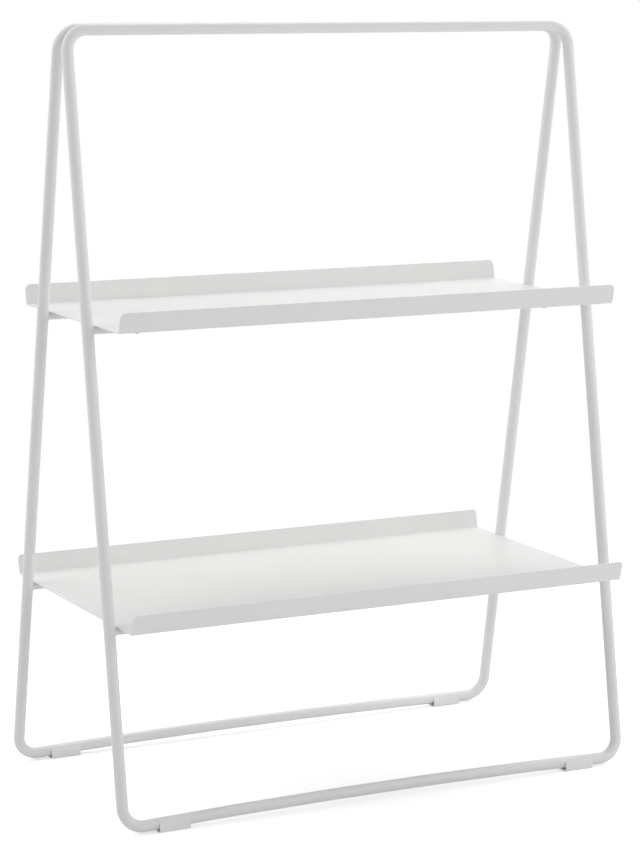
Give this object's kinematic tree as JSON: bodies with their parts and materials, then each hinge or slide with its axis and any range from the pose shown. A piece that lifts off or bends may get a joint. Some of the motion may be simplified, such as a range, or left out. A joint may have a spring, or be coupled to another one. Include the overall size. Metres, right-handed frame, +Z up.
{
  "type": "shelving unit",
  "caption": "Open A-frame shelving unit: leaning loops of bent white tube carry folded sheet shelves with flared lips on crossbars, and stand on clip-on foot glides.",
  "frame": {"origin": "on the floor, under the middle of the unit", "axes": "+X along the shelves to the right as seen from the front, +Y from the front to the rear, +Z up"},
  "size_m": [0.748, 0.3902, 1],
  "materials": {
    "white_powder_coat": "satin white powder coat on steel",
    "white_plastic": "fine matte moulded plastic",
    "zinc_steel": "bright zinc plated"
  },
  "bodies": {
    "root": {"front_frame": "white_powder_coat", "rear_frame": "white_powder_coat", "upper_front_crossbar": "white_powder_coat", "upper_rear_crossbar": "white_powder_coat", "lower_front_crossbar": "white_powder_coat", "lower_rear_crossbar": "white_powder_coat", "upper_shelf": "white_powder_coat", "lower_shelf": "white_powder_coat", "upper_shelf_nuts": "zinc_steel", "lower_shelf_nuts": "zinc_steel", "upper_shelf_screws": "zinc_steel", "lower_shelf_screws": "zinc_steel", "top_rivet_nuts": "zinc_steel", "top_spacers": "white_powder_coat", "top_bolts": "zinc_steel", "front_left_glide": "white_plastic", "front_right_glide": "white_plastic", "rear_left_glide": "white_plastic", "rear_right_glide": "white_plastic"}
  },
  "joints": []
}
